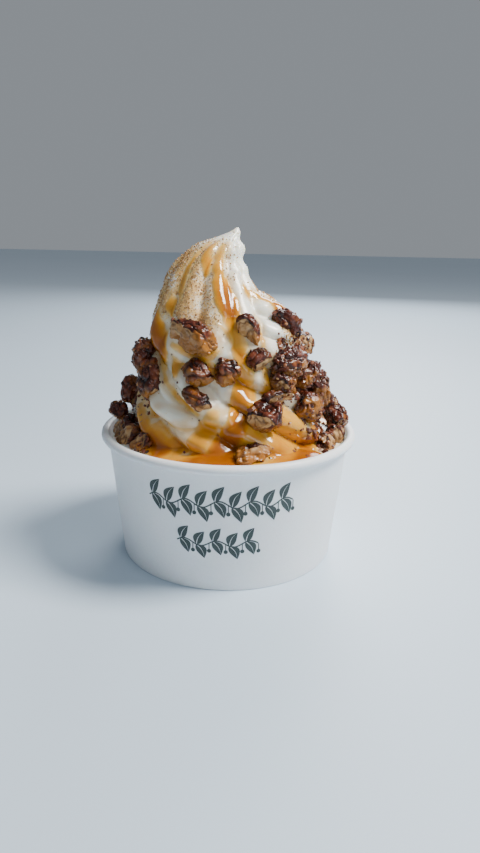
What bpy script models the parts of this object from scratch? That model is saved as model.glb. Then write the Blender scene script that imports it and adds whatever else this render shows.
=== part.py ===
"""Frozen yogurt in a squat paper cup, with glazed pecan pieces and thick caramel.

The file is in metres, +Z up. The origin is on the cup's axis, at the bottom of its foot.
Lengths below are millimetres and angles are degrees. Angle 270 faces the front, 180 the left.
"""
import math
from collections import namedtuple

import bmesh
import bpy
import numpy as np
from mathutils import Vector, noise
from mathutils.bvhtree import BVHTree

MM = 0.001
GAP = 0.35                  # clear space between pieces that touch
FLAT_ANGLE = 0.5            # faces of the yogurt that turn less than this are merged
PECAN_FLAT_ANGLE = 7.0      # and faces of a pecan piece
MERGE = 0.01                # points closer than this are merged

# Paper cup
RIM_RADIUS = 48.0           # outside of the rolled rim
CUP_HEIGHT = 48.0
BASE_RADIUS = 40.8          # outside of the foot
WALL_TOP_RADIUS = 45.4      # outside of the wall, just under the rim
BEAD_RADIUS = 1.65          # the rolled rim's own radius
PAPER = 0.6
FOOT_THICKNESS = 1.5        # wall and floor skirt folded together
FLOOR_RECESS = 5.0          # the floor stands this high above the foot
BEAD_START = -124.0         # where the rim's roll leaves the outer wall
BEAD_END = 145.0            # where it meets the inner wall
BEAD_STEPS = 6
CUP_SEGMENTS = 48

# Frozen yogurt that fills the cup, as radius and height of its uneven top
FILL_TOP = [(44.1, 43.4), (42.9, 45.2), (37.0, 46.8), (26.0, 48.0)]
FILL_WAVE = 0.8
FILL_WAVES = [(3, 0.6, 1.0), (5, 2.0, 0.6)]     # waves round the top: how many, phase, share of the height

# Stacked turns of the swirl: outline as radius and height, then ridges and lean.
# The ridges wind by twist degrees for each millimetre along the outline.
TURNS = [
    {"name": "turn_low", "lobes": 9, "depth": 0.14, "twist": 3.2, "tilt": 3.0, "tilt_to": 315,
     "start": 20, "rings": 10, "outline": [
         (29, 43), (34.5, 45), (36.6, 49.5), (35.6, 57), (32, 65), (25, 71.5)]},
    {"name": "turn_middle", "lobes": 9, "depth": 0.14, "twist": 3.3, "tilt": 10.0, "tilt_to": 315,
     "start": 11, "rings": 9, "outline": [
         (24, 58.5), (29, 60.5), (31.8, 64.5), (31.6, 69), (29.5, 74), (24, 79.5)]},
    {"name": "turn_high", "lobes": 10, "depth": 0.12, "twist": 3.3, "tilt": 8.0, "tilt_to": 300,
     "start": 6, "rings": 10, "outline": [
         (21, 69), (25.8, 71), (28, 75), (28, 80), (26.5, 86), (23, 91), (16, 95)]},
]

# Lobes pulled up from the swirl: centre X, centre Y, height and radius of each station.
# The peak's lower lip droops to the front.
PEAKS = [
    {"name": "peak", "lobes": 11, "depth": 0.13, "twist": 0.8, "rings": 13, "tilt": 3.0, "tilt_to": 285,
     "columns": 4, "stations": [
         (-2, -2, 76, 20), (-2.6, -2, 78.5, 25), (-3.4, -2, 82, 26), (-5, -2, 88, 23.5), (-7.2, -1.5, 98, 18),
         (-8.1, -0.5, 104.5, 14.6), (-7.1, 0, 109.2, 12), (-5.3, 0, 112.5, 10), (-3.2, 0, 116, 7.0),
         (-0.8, 0, 118.6, 4.0), (0.6, 0, 120.2, 1.0)]},
    {"name": "shoulder", "lobes": 9, "depth": 0.14, "twist": 3.0, "rings": 7, "tilt": 0.0, "tilt_to": 0,
     "columns": 4, "stations": [
         (8, 5, 78, 14), (9, 5, 84, 14.6), (9, 5, 88, 13.5), (8, 5, 94, 9.5), (7, 5, 98, 4),
         (6.5, 5, 99, 0.8)]},
]
COLUMNS_PER_LOBE = 6
RIDGE_FADE = 1.3            # a turn's ridges fade where it is narrow

# Thick caramel: runs down the swirl, each station as angle, height and width
CARAMEL_RUNS = {
    "left_groove": [(219, 113, 3), (216, 107, 4), (221, 100, 3.5), (226, 94, 2.5)],
    "front_run": [(252, 112, 4), (254, 104, 5), (264, 97, 6), (270, 92, 8), (272, 88, 5)],
    "left_edge": [(190, 98, 3), (190, 90, 5), (200, 84, 6), (211, 79, 5), (205, 72, 5)],
    "under_nut": [(232, 82, 4), (244, 79, 6), (258, 80, 5), (268, 77, 3)],
    "tongue_run": [(278, 88, 3), (277, 82, 4), (281, 75, 5), (277, 68, 8), (272, 61, 9), (269, 54, 9),
                   (263, 47, 8)],
    "right_run": [(298, 84, 4), (298, 76, 4), (299, 68, 4), (303, 60, 5)],
    "far_right": [(352, 74, 4), (354, 66, 4), (352, 58, 6), (346, 51, 5)],
    "low_left": [(196, 62, 4), (208, 57, 5), (222, 54, 6), (240, 51, 6)],
    "back_run": [(74, 91, 4), (78, 84, 5), (82, 74, 6), (78, 62, 6), (72, 52, 6)],
    "back_left": [(140, 106, 4), (142, 98, 5), (142, 86, 5), (134, 76, 6), (138, 66, 5), (142, 54, 6)],
}
CARAMEL_HEIGHT = 1.3        # how far a run stands out of the yogurt
CARAMEL_ROOT = 2.2          # how deep it reaches in, so that the two join
RUN_STEP = 1.0              # most that a run's edge rises or falls from its middle
RUN_END = 0.35              # width and height left at a run's ends
# Pools of caramel beside the rim: angle, radius, height, then length, width and depth
CARAMEL_POOLS = [(305, 38.6, 46.2, 40, 9, 6), (264, 39.4, 45.6, 36, 8, 4.5), (28, 39.2, 45.6, 30, 8, 5)]
POOL_STEPS = 8
POOL_SIDES = 10
POOL_BLUNTNESS = 0.6        # below 1, a pool's ends are rounder than an ellipse's

# Pecan pieces: where the centre lies, their size, the turn of the length from level,
# the rise of the outer face, and how much of each end is broken off
Pecan = namedtuple("Pecan", "angle radius height length width thickness turn rise start_broken end_broken")
PECANS = [
    (243, 28.6, 85.3, 22.0, 11.0, 9.0, -10, 12, 0.00, 0.15),
    (285, 24.2, 87.0, 12.5, 8.0, 7.5, 98, 10, 0.00, 0.00),
    (334, 22.8, 87.8, 15.0, 8.0, 9, 112, 20, 0.10, 0.00),
    (352, 28.0, 81.0, 10.0, 8.0, 7, 80, 15, 0.00, 0.25),
    (291, 27.4, 78.0, 9.0, 8.0, 7, 20, 10, 0.15, 0.00),
    (250, 29.5, 73.6, 11.5, 10.0, 9.5, 25, 5, 0.00, 0.25),
    (268, 28.8, 74.5, 10.0, 9.0, 7.5, -30, 5, 0.25, 0.00),
    (252, 32.3, 65.2, 13.0, 6.0, 6, -35, 10, 0.00, 0.00),
    (317, 28.6, 75.6, 17.0, 11.5, 10, 10, 15, 0.10, 0.00),
    (338, 29.8, 71.5, 14.0, 10.5, 10, 60, 15, 0.00, 0.20),
    (309, 30.0, 69.6, 11.0, 9.0, 8.5, -20, 5, 0.15, 0.15),
    (349, 33.2, 64.0, 17.0, 9.5, 10, 84, 10, 0.10, 0.00),
    (328, 34.2, 61.0, 13.5, 10.0, 9, 40, 10, 0.00, 0.25),
    (302, 31.6, 65.4, 12.0, 6.0, 5.5, 4, 5, 0.00, 0.00),
    (291, 35.2, 60.0, 15.0, 12.5, 12, 78, 8, 0.24, 0.22),
    (196, 31.6, 75.4, 14.0, 10.5, 9.5, 78, 15, 0.10, 0.00),
    (210, 31.8, 69.0, 16.5, 11.0, 9, 110, 8, 0.00, 0.12),
    (184, 37.2, 61.8, 12.5, 6.5, 7.5, 98, 5, 0.10, 0.10),
    (184, 42.0, 53.6, 10.5, 7.5, 7, 8, 25, 0.00, 0.20),
    (190, 40.2, 48.2, 13.5, 8.5, 7, 70, 52, 0.00, 0.00),
    (205, 39.8, 47.8, 13.5, 8.0, 6.5, 62, 50, 0.00, 0.10),
    (219, 39.2, 47.2, 10.5, 7.5, 6.5, 50, 45, 0.20, 0.00),
    (357, 41.2, 51.6, 12.0, 9.5, 9, 60, 30, 0.15, 0.00),
    (345, 40.8, 48.2, 10.0, 8.0, 7.5, 20, 45, 0.00, 0.25),
    (2, 38.8, 57.0, 7.5, 7.0, 7, 20, 20, 0.00, 0.00),
    (284, 38.8, 48.6, 15.0, 8.0, 6.5, 6, 55, 0.00, 0.00),
    (334, 39.8, 47.4, 9.0, 7.0, 6, 30, 60, 0.15, 0.00),
    (28, 27.5, 80.5, 13.5, 10.0, 9, 40, 15, 0.00, 0.25),
    (64, 31.0, 71.5, 12.0, 9.5, 9, -30, 10, 0.15, 0.00),
    (112, 29.0, 80.0, 14.5, 10.0, 9, 15, 15, 0.00, 0.15),
    (152, 32.5, 70.5, 13.0, 10.0, 9, 70, 10, 0.20, 0.00),
    (98, 35.0, 60.0, 14.0, 9.0, 8, -20, 10, 0.00, 0.00),
    (22, 36.0, 60.5, 13.0, 10.0, 9, 65, 12, 0.00, 0.25),
    (48, 39.7, 49.4, 13.5, 9.5, 8, 10, 50, 0.15, 0.00),
    (86, 39.8, 48.8, 14.0, 9.5, 8, -15, 55, 0.00, 0.00),
    (124, 39.6, 49.2, 13.0, 9.5, 8, 25, 50, 0.00, 0.20),
    (158, 39.6, 50.0, 13.0, 9.0, 8.5, 5, 45, 0.15, 0.00),
]
PECAN_RINGS = 4
PECAN_SIDES = 10
PECAN_TAPER = 2.3           # how late a piece narrows towards its ends
PECAN_BLUNTNESS = 0.45      # and how blunt they are
FURROWS = 6
FURROW_DEPTH = 0.13         # as a share of a piece's radius
LUMP = 0.27                 # unevenness, as a share of its size
LUMP_SPACING = 5.0
LUMP_SHIFT = Vector((7.3, 1.9, 0.0))            # moves the unevenness on from piece to piece
BREAK_SLANT = (1.0, 0.35, 0.45)                 # a broken end leans across and out
SHARP_ANGLE = 40.0


def clear_scene():
    """Remove every object of the scene that the file opens with."""
    for item in list(bpy.data.objects):
        bpy.data.objects.remove(item)


def material(name, colour, roughness):
    """Plain non-metal surface."""
    made = bpy.data.materials.new(name)
    made.use_nodes = True
    shader = made.node_tree.nodes["Principled BSDF"]
    shader.inputs["Base Color"].default_value = (*colour, 1.0)
    shader.inputs["Roughness"].default_value = roughness
    shader.inputs["Metallic"].default_value = 0.0
    return made


def add_mesh(name, points, faces, surface=None):
    """New object from points in millimetres."""
    mesh = bpy.data.meshes.new(name)
    mesh.from_pydata([tuple(np.asarray(point) * MM) for point in points], [], faces)
    if surface:
        mesh.materials.append(surface)
    made = bpy.data.objects.new(name, mesh)
    bpy.context.scene.collection.objects.link(made)
    return made


def loft(name, rings, surface=None):
    """Closed body through rings of equal length, bottom to top, with a centre point at each end."""
    count = len(rings[0])
    points = [point for ring in rings for point in ring]
    faces = []
    for i in range(len(rings) - 1):
        low, high = i * count, (i + 1) * count
        for j in range(count):
            k = (j + 1) % count
            faces.append((low + j, low + k, high + k, high + j))
    bottom, top = len(points), len(points) + 1
    points += [np.mean(rings[0], axis=0), np.mean(rings[-1], axis=0)]
    last = (len(rings) - 1) * count
    for j in range(count):
        k = (j + 1) % count
        faces.append((bottom, k, j))
        faces.append((top, last + j, last + k))
    return add_mesh(name, points, faces, surface)


def smooth_rows(rows, count):
    """Evenly spaced samples of a smooth curve through rows of numbers."""
    rows = np.array(rows, float)
    chord = np.r_[0, np.cumsum(np.linalg.norm(np.diff(rows, axis=0), axis=1))]
    slope = np.gradient(rows, chord, axis=0)
    samples = []
    for place in np.linspace(0, chord[-1], count):
        k = min(np.searchsorted(chord, place, "right") - 1, len(rows) - 2)
        span = chord[k + 1] - chord[k]
        u = (place - chord[k]) / span
        samples.append((2 * u**3 - 3 * u**2 + 1) * rows[k] + (u**3 - 2 * u**2 + u) * span * slope[k]
                       + (3 * u**2 - 2 * u**3) * rows[k + 1] + (u**3 - u**2) * span * slope[k + 1])
    return np.array(samples)


def wall_radius(height):
    """Outside of the cup's straight wall."""
    return BASE_RADIUS + (WALL_TOP_RADIUS - BASE_RADIUS) * height / (CUP_HEIGHT - 2 * BEAD_RADIUS)


def turned(name, outline, segments, surface=None, wave=None):
    """Body turned about the axis from an outline of radius and height that starts and ends on it."""
    angles = np.linspace(0, 2 * math.pi, segments, endpoint=False)
    rings = []
    for radius, height in outline:
        lift = np.zeros(segments) if wave is None else wave(radius, height, angles)
        rings.append(np.stack([radius * np.cos(angles), radius * np.sin(angles), height + lift], 1))
    return loft(name, rings, surface)


def build_cup(surface):
    """Paper wall with a rolled rim, a raised floor and a foot ring."""
    bead_centre = (RIM_RADIUS - BEAD_RADIUS, CUP_HEIGHT - BEAD_RADIUS)
    bead = []
    for angle in np.radians(np.linspace(BEAD_START, BEAD_END, BEAD_STEPS + 1)):
        bead.append((bead_centre[0] + BEAD_RADIUS * math.cos(angle),
                     bead_centre[1] + BEAD_RADIUS * math.sin(angle)))
    floor_top = FLOOR_RECESS + PAPER
    foot_inside = BASE_RADIUS - FOOT_THICKNESS
    floor_bottom = [(foot_inside / 2, FLOOR_RECESS), (foot_inside, FLOOR_RECESS)]
    floor_inside = [(wall_radius(floor_top) - PAPER, floor_top), (foot_inside / 2, floor_top)]
    outline = [*floor_bottom, (foot_inside, 0), (BASE_RADIUS, 0), *bead, *floor_inside]
    return turned("cup", outline, CUP_SEGMENTS, surface)


def fill_wave(radius, height, angles):
    """Uneven top of the filling, level where it meets the cup's floor and wall."""
    share = 1.0 if height > FILL_TOP[0][1] else 0.0
    waves = sum(size * np.sin(count * angles + phase) for count, phase, size in FILL_WAVES)
    return FILL_WAVE * share * waves * radius / RIM_RADIUS


def build_fill(surface):
    """Frozen yogurt inside the cup, clear of its wall and floor."""
    floor = FLOOR_RECESS + PAPER + GAP
    foot = wall_radius(floor) - PAPER - GAP
    outline = [(foot / 2, floor), (foot, floor), *FILL_TOP]
    return turned("frozen_yogurt", outline, CUP_SEGMENTS, surface, fill_wave)


def lobed_ring(radius, centre, height, lobes, columns, depth, phase):
    """Ring of rounded ridges, whose points follow the ridges round as they twist."""
    angles = np.linspace(0, 2 * math.pi, lobes * columns, endpoint=False)
    reach = radius * (1 - depth * (1 - np.abs(np.cos(lobes * angles / 2))))
    turned_angles = angles + phase
    return np.stack([centre[0] + reach * np.cos(turned_angles), centre[1] + reach * np.sin(turned_angles),
                     np.full(len(angles), float(height))], 1)


def lean(ring, spec, share):
    """Lower one side of a ring and raise the other, by a share of the lean that its form has."""
    around = np.arctan2(ring[:, 1], ring[:, 0])
    ring[:, 2] -= spec["tilt"] * np.cos(around - math.radians(spec["tilt_to"])) * share


def build_turn(spec):
    """One leaning, ridged turn of the swirl."""
    rows = smooth_rows(spec["outline"], spec["rings"])
    widest = rows[:, 0].max()
    walked = np.r_[0, np.cumsum(np.linalg.norm(np.diff(rows, axis=0), axis=1))]
    rings = []
    for (radius, height), place in zip(rows, walked):
        depth = spec["depth"] * min(1.0, RIDGE_FADE * (radius / widest) ** 2)
        phase = math.radians(spec["start"] + spec["twist"] * (walked[-1] - place))
        ring = lobed_ring(radius, (0, 0), height, spec["lobes"], COLUMNS_PER_LOBE, depth, phase)
        lean(ring, spec, radius / widest)
        rings.append(ring)
    return loft(spec["name"], rings)


def build_peak(spec):
    """Lobe drawn up to a bent tip."""
    rows = smooth_rows(spec["stations"], spec["rings"])
    rings = []
    for x, y, height, radius in rows:
        climbed = (height - rows[0, 2]) / (rows[-1, 2] - rows[0, 2])
        phase = math.radians(spec["twist"] * (height - rows[0, 2]))
        ring = lobed_ring(radius, (x, y), height, spec["lobes"], spec["columns"], spec["depth"], phase)
        lean(ring, spec, (1 - climbed) ** 2)
        rings.append(ring)
    return loft(spec["name"], rings)


def surface_finder(items):
    """Function that gives the first point where a ray meets any of some bodies."""
    trees = []
    for item in items:
        points = [Vector(vertex.co) for vertex in item.data.vertices]
        trees.append(BVHTree.FromPolygons(points, [tuple(face.vertices) for face in item.data.polygons]))

    def first_hit(start, direction):
        found = [tree.ray_cast(Vector(start) * MM, Vector(direction)) for tree in trees]
        found = [hit for hit in found if hit[0] is not None]
        nearest = min(found, key=lambda hit: hit[3])
        return np.array(nearest[0]) / MM

    return first_hit


def polar(angle, radius, height):
    """Point at an angle round the axis."""
    return np.array([radius * math.cos(math.radians(angle)), radius * math.sin(math.radians(angle)), height])


def build_caramel_run(name, stations, first_hit):
    """Flat ribbon laid on the swirl, rounded on top and rooted in the yogurt."""
    rows = smooth_rows(stations, math.ceil(1.5 * len(stations)))
    outward = [polar(angle, 1, 0) for angle, height, width in rows]
    middle = []
    for (angle, height, width), out in zip(rows, outward):
        middle.append(first_hit(2 * RIM_RADIUS * out + np.array([0, 0, height]), -out))
    middle = np.array(middle)
    middle[1:-1] = (middle[:-2] + 2 * middle[1:-1] + middle[2:]) / 4
    along = np.gradient(middle, axis=0)
    rings = []
    for i, (point, out) in enumerate(zip(middle, outward)):
        end = RUN_END if i in (0, len(rows) - 1) else 1.0
        across = np.cross(out, along[i])
        across *= rows[i, 2] / 2 * end / np.linalg.norm(across)
        top, root = [], []
        for side in (-1, 0, 1):
            edge = point + side * across
            step = (first_hit(edge + 2 * RIM_RADIUS * out, -out) - edge) @ out
            edge = edge + np.clip(step, -RUN_STEP, RUN_STEP) * out
            top.append(edge + out * CARAMEL_HEIGHT * end * (1 - abs(side)))
            if side:
                root.append(edge - out * CARAMEL_ROOT)
        rings.append(np.array(top + root[::-1]))
    return loft(name, rings)


def build_pool(name, angle, radius, height, length, width, depth):
    """Flattened drop of caramel that follows the rim round."""
    rings = []
    for i in range(1, POOL_STEPS):
        along = -math.cos(math.pi * i / POOL_STEPS)
        girth = math.sin(math.pi * i / POOL_STEPS) ** POOL_BLUNTNESS
        place = angle + math.degrees(along * length / 2 / radius)
        ring = []
        for v in np.linspace(0, 2 * math.pi, POOL_SIDES, endpoint=False):
            out = radius + width / 2 * girth * math.cos(v)
            ring.append(polar(place, out, height + depth / 2 * girth * math.sin(v)))
        rings.append(np.array(ring))
    return loft(name, rings)


def point_outward(item):
    """Make one closed body's faces point out."""
    work = bmesh.new()
    work.from_mesh(item.data)
    bmesh.ops.recalc_face_normals(work, faces=work.faces)
    if work.calc_volume(signed=True) < 0:
        bmesh.ops.reverse_faces(work, faces=work.faces)
    work.to_mesh(item.data)
    work.free()


def drop_scraps(work):
    """Keep only the largest of the bodies in a mesh."""
    waiting = set(work.verts)
    bodies = []
    while waiting:
        body, edge = set(), [waiting.pop()]
        while edge:
            vertex = edge.pop()
            body.add(vertex)
            for link in vertex.link_edges:
                other = link.other_vert(vertex)
                if other in waiting:
                    waiting.discard(other)
                    edge.append(other)
        bodies.append(body)
    bodies.sort(key=len)
    for body in bodies[:-1]:
        bmesh.ops.delete(work, geom=list(body), context="VERTS")


def keep_largest_body(item, flat_angle):
    """Drop loose scraps and merge flat faces, as far as the mesh stays closed."""
    for flat, merge in ((flat_angle, MERGE), (flat_angle, 0.0), (0.0, 0.0)):
        work = bmesh.new()
        work.from_mesh(item.data)
        if merge:
            bmesh.ops.remove_doubles(work, verts=work.verts, dist=merge * MM)
            bmesh.ops.dissolve_degenerate(work, edges=work.edges, dist=merge * MM)
        drop_scraps(work)
        if flat:
            bmesh.ops.dissolve_limit(work, angle_limit=math.radians(flat), verts=work.verts, edges=work.edges)
        bmesh.ops.triangulate(work, faces=work.faces)
        closed = all(edge.is_manifold for edge in work.edges)
        if closed:
            work.to_mesh(item.data)
        work.free()
        if closed:
            return


def apply_boolean(item, others, operation):
    """Join or cut a body with others, by one applied Boolean on their collection, then drop them."""
    group = bpy.data.collections.new("joined")
    bpy.context.scene.collection.children.link(group)
    for other in others:
        group.objects.link(other)
    cut = item.modifiers.new("joined", "BOOLEAN")
    cut.operation = operation
    cut.solver = "EXACT"
    cut.operand_type = "COLLECTION"
    cut.collection = group
    result = bpy.data.meshes.new_from_object(item.evaluated_get(bpy.context.evaluated_depsgraph_get()))
    item.modifiers.clear()
    item.data = result
    for other in others:
        bpy.data.objects.remove(other)
    bpy.data.collections.remove(group)


def grown_copy(item):
    """Copy of a body, larger all over by the gap."""
    grown = bpy.data.objects.new(item.name + "_grown", item.data.copy())
    bpy.context.scene.collection.objects.link(grown)
    normals = [Vector(vertex.normal) for vertex in grown.data.vertices]
    for vertex, normal in zip(grown.data.vertices, normals):
        vertex.co += normal * GAP * MM
    return grown


def pecan_points(spec, seed):
    """Rings of points along a furrowed, lumpy pecan half, before it is placed."""
    rings = []
    for i in range(1, PECAN_RINGS + 1):
        along = -math.cos(math.pi * i / (PECAN_RINGS + 1))
        girth = (1 - abs(along) ** PECAN_TAPER) ** PECAN_BLUNTNESS / 2
        ring = []
        for j in range(PECAN_SIDES):
            v = 2 * math.pi * j / PECAN_SIDES
            reach = girth * (1 - FURROW_DEPTH * abs(math.sin(FURROWS * v / 2)))
            point = Vector((along * spec.length / 2, spec.width * reach * math.cos(v),
                            spec.thickness * reach * math.sin(v)))
            lump = noise.noise(point / LUMP_SPACING + seed * LUMP_SHIFT)
            ring.append(point * (1 + LUMP * lump))
        rings.append(np.array(ring))
    return rings


def place_frame(spec):
    """Axes of a pecan piece: along its length, across it and out of the swirl."""
    angle, turn, rise = (math.radians(value) for value in (spec.angle, spec.turn, spec.rise))
    level = Vector((-math.sin(angle), math.cos(angle), 0))
    outward = Vector((math.cos(angle), math.sin(angle), 0))
    face = outward * math.cos(rise) + Vector((0, 0, 1)) * math.sin(rise)
    upward = face.cross(level)
    along = level * math.cos(turn) + upward * math.sin(turn)
    return along, face.cross(along), face


def break_off(item, share, side, length):
    """Cut one end of an unplaced piece off by a slanted plane."""
    work = bmesh.new()
    work.from_mesh(item.data)
    plane = Vector(BREAK_SLANT) * Vector((side, side, 1.0))
    cut = bmesh.ops.bisect_plane(work, geom=work.verts[:] + work.edges[:] + work.faces[:],
                                 plane_co=Vector((side * (0.5 - share) * length * MM, 0, 0)),
                                 plane_no=plane, clear_outer=True)
    rim = [edge for edge in cut["geom_cut"] if isinstance(edge, bmesh.types.BMEdge)]
    bmesh.ops.edgeloop_fill(work, edges=rim)
    bmesh.ops.triangulate(work, faces=work.faces)
    work.to_mesh(item.data)
    work.free()


def build_pecan(index, spec, surface):
    """One glazed pecan piece at its place on the swirl."""
    made = loft("pecan_%02d" % (index + 1), pecan_points(spec, index + 1), surface)
    point_outward(made)
    for side, share in ((-1, spec.start_broken), (1, spec.end_broken)):
        if share > 0:
            break_off(made, share, side, spec.length)
    along, across, face = place_frame(spec)
    centre = Vector(polar(spec.angle, spec.radius, spec.height)) * MM
    for vertex in made.data.vertices:
        point = vertex.co.copy()
        vertex.co = centre + along * point.x + across * point.y + face * point.z
    return made


def overlaps(first, second):
    """Whether two bodies' boxes meet."""
    boxes = []
    for item in (first, second):
        points = np.array([vertex.co[:] for vertex in item.data.vertices])
        boxes.append((points.min(axis=0), points.max(axis=0)))
    return bool(np.all(boxes[0][0] < boxes[1][1]) and np.all(boxes[1][0] < boxes[0][1]))


def trim(item, neighbours, flat_angle):
    """Cut a piece back, so that it stays clear of the neighbours it would cross."""
    crossing = [other for other in neighbours if overlaps(item, other)]
    if crossing:
        copies = []
        for other in crossing:
            copy = bpy.data.objects.new(other.name + "_cutter", other.data.copy())
            bpy.context.scene.collection.objects.link(copy)
            copies.append(copy)
        apply_boolean(item, copies, "DIFFERENCE")
    keep_largest_body(item, flat_angle)


def build_all():
    """Cup, frozen yogurt with its caramel, and the pecan pieces."""
    clear_scene()
    paper = material("cup_paper", (0.82, 0.83, 0.85), 0.45)
    yogurt = material("frozen_yogurt", (0.90, 0.84, 0.72), 0.35)
    nut = material("glazed_pecan", (0.24, 0.10, 0.05), 0.30)

    cup = build_cup(paper)
    fill = build_fill(yogurt)
    swirl = [build_turn(spec) for spec in TURNS] + [build_peak(spec) for spec in PEAKS]
    for item in swirl:
        point_outward(item)
    first_hit = surface_finder(swirl + [fill])
    caramel = [build_caramel_run(name, stations, first_hit) for name, stations in CARAMEL_RUNS.items()]
    caramel += [build_pool("pool_%d" % i, *spec) for i, spec in enumerate(CARAMEL_POOLS)]
    for item in caramel + [cup, fill]:
        point_outward(item)
    pieces = swirl + caramel
    cutters = [grown_copy(item) for item in pieces + [fill, cup]]
    for item in caramel:
        trim(item, [cutters[-1]], FLAT_ANGLE)
    apply_boolean(fill, pieces, "UNION")
    keep_largest_body(fill, FLAT_ANGLE)

    for index, row in enumerate(PECANS):
        pecan = build_pecan(index, Pecan(*row), nut)
        trim(pecan, cutters, PECAN_FLAT_ANGLE)
        cutters.append(grown_copy(pecan))
    for cutter in cutters:
        bpy.data.objects.remove(cutter)
    for item in bpy.data.objects:
        item.data.shade_smooth()
        item.data.set_sharp_from_angle(angle=math.radians(SHARP_ANGLE))


build_all()
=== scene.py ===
"""Looks of a frozen yogurt in a squat paper cup, with glazed pecans, caramel and sugar crumbs.

Lengths are millimetres and angles are degrees, turned into metres and radians where a mesh is made.
Angle 270 faces the front, 180 the left.
"""

import math
import random
from collections import namedtuple

import bmesh
import bpy
import numpy as np
from mathutils import Matrix, Vector, noise
from mathutils.bvhtree import BVHTree


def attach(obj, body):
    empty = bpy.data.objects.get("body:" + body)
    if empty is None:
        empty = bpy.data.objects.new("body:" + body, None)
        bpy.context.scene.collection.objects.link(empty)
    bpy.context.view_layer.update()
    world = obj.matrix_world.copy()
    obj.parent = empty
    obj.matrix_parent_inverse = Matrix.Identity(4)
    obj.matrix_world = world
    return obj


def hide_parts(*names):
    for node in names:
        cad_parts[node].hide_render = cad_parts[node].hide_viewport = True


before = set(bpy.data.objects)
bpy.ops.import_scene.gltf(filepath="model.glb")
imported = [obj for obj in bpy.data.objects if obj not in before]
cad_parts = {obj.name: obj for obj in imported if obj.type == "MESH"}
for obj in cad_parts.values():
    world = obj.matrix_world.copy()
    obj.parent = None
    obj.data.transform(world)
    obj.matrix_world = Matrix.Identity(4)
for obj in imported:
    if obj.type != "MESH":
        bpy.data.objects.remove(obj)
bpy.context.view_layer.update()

MM = 0.001

# Camera, as the photograph's own view of the cup
PHOTO_HEIGHT_PX = 853
FOCAL_PX = 640
SENSOR = 36.0
CAMERA_DISTANCE = 246.64
CAMERA_ELEVATION = 16.705
CAMERA_ROLL = 1.183
CAMERA_TARGET = (4.329, 0.0, 47.12)

# Paper cup, as in the solids
RIM_RADIUS = 48.0
CUP_HEIGHT = 48.0
BASE_RADIUS = 40.8
WALL_TOP_RADIUS = 45.4
BEAD_RADIUS = 1.65
PAPER = 0.6
FOOT_THICKNESS = 1.5
FLOOR_RECESS = 5.0
FLOOR_BEVEL = 0.5
FOOT_BEVEL = 0.35
BEAD_START = -124.0
BEAD_END = 145.0
BEAD_STEPS = 30
WALL_STEPS = 12
CUP_SEGMENTS = 320
CUP_SHARP = math.radians(50)    # edges sharper than this stay sharp
SEAM_ANGLE = 118.0          # where the paper's edge laps over, behind
SEAM_STEP = 0.28
SEAM_LAP = 10.0             # degrees of lap
SEAM_FADE = 30.0            # degrees over which the lap's step dies out

# Swirl, as in the solids, read more finely
FILL_FLOOR = 39.0           # the filling below this is hidden by the cup
FILL_TOP = [(44.1, 43.4), (42.9, 45.2), (37.0, 46.8), (26.0, 48.0)]
FILL_INNER = 20.0
FILL_GAP = 0.35             # between the hidden filling and the paper
FILL_OVERLAP = 0.5
FILL_WAVE = 0.8
FILL_RIPPLES = ((3, 0.6, 1.0), (5, 2.0, 0.6))   # waves all round, the start and the size of each set
FILL_COLUMNS = 180
TURNS = [
    {"lobes": 9, "depth": 0.14, "twist": 3.2, "tilt": 3.0, "tilt_to": 315, "start": 20, "outline": [
        (29, 43), (34.5, 45), (36.6, 49.5), (35.6, 57), (32, 65), (25, 71.5)]},
    {"lobes": 9, "depth": 0.14, "twist": 3.3, "tilt": 10.0, "tilt_to": 315, "start": 11, "outline": [
        (24, 58.5), (29, 60.5), (31.8, 64.5), (31.6, 69), (29.5, 74), (24, 79.5)]},
    {"lobes": 10, "depth": 0.12, "twist": 3.3, "tilt": 8.0, "tilt_to": 300, "start": 6, "outline": [
        (21, 69), (25.8, 71), (28, 75), (28, 80), (26.5, 86), (23, 91), (16, 95)]},
]
PEAKS = [
    {"lobes": 11, "depth": 0.13, "twist": 0.8, "tilt": 3.0, "tilt_to": 285, "stations": [
        (-2, -2, 76, 20), (-2.6, -2, 78.5, 25), (-3.4, -2, 82, 26), (-5, -2, 88, 23.5), (-7.2, -1.5, 98, 18),
        (-8.1, -0.5, 104.5, 14.6), (-7.1, 0, 109.2, 12), (-5.3, 0, 112.5, 10), (-3.2, 0, 116, 7),
        (-0.8, 0, 118.6, 4), (0.6, 0, 120.2, 1)]},
    {"lobes": 9, "depth": 0.14, "twist": 3.0, "tilt": 0.0, "tilt_to": 0, "stations": [
        (8, 5, 78, 14), (9, 5, 84, 14.6), (9, 5, 88, 13.5), (8, 5, 94, 9.5), (7, 5, 98, 4),
        (6.5, 5, 99, 0.8)]},
]
FINE_COLUMNS = 22           # points across one ridge
FINE_RINGS = 70
YOGURT_VOXEL = 0.6
YOGURT_SMOOTHING = 2
SMOOTH_FACTOR = 0.5
CREASE_ROUNDS = 24          # how far round a point its hollowness is judged
CREASE_DEPTHS = (0.02, 0.45)        # hollowness at which a crease starts and is full
UNEVEN = ((0.45, 7.0, 0), (0.12, 1.8, 2))   # size, spacing and seed of each layer of unevenness
UNEVEN_FROM = (44, 50)      # heights over which it sets in
PEAK_BUMPS = (113.4, 7.6, 0.5)      # height of one bump on the peak's right edge, spacing and size
PEAK_BUMPS_SIDE = (0.3, 0.8)        # they lie where the surface faces right by this much
PEAK_BUMPS_FADE = ((102, 107), (119, 116))      # heights over which they set in and end
SHOULDER_LOBES = (92.0, 5.6, 2.1)   # the same for the soft lobes on the front of the shoulder
SHOULDER_LOBES_FADE = ((78, 83), (99, 95))
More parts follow.
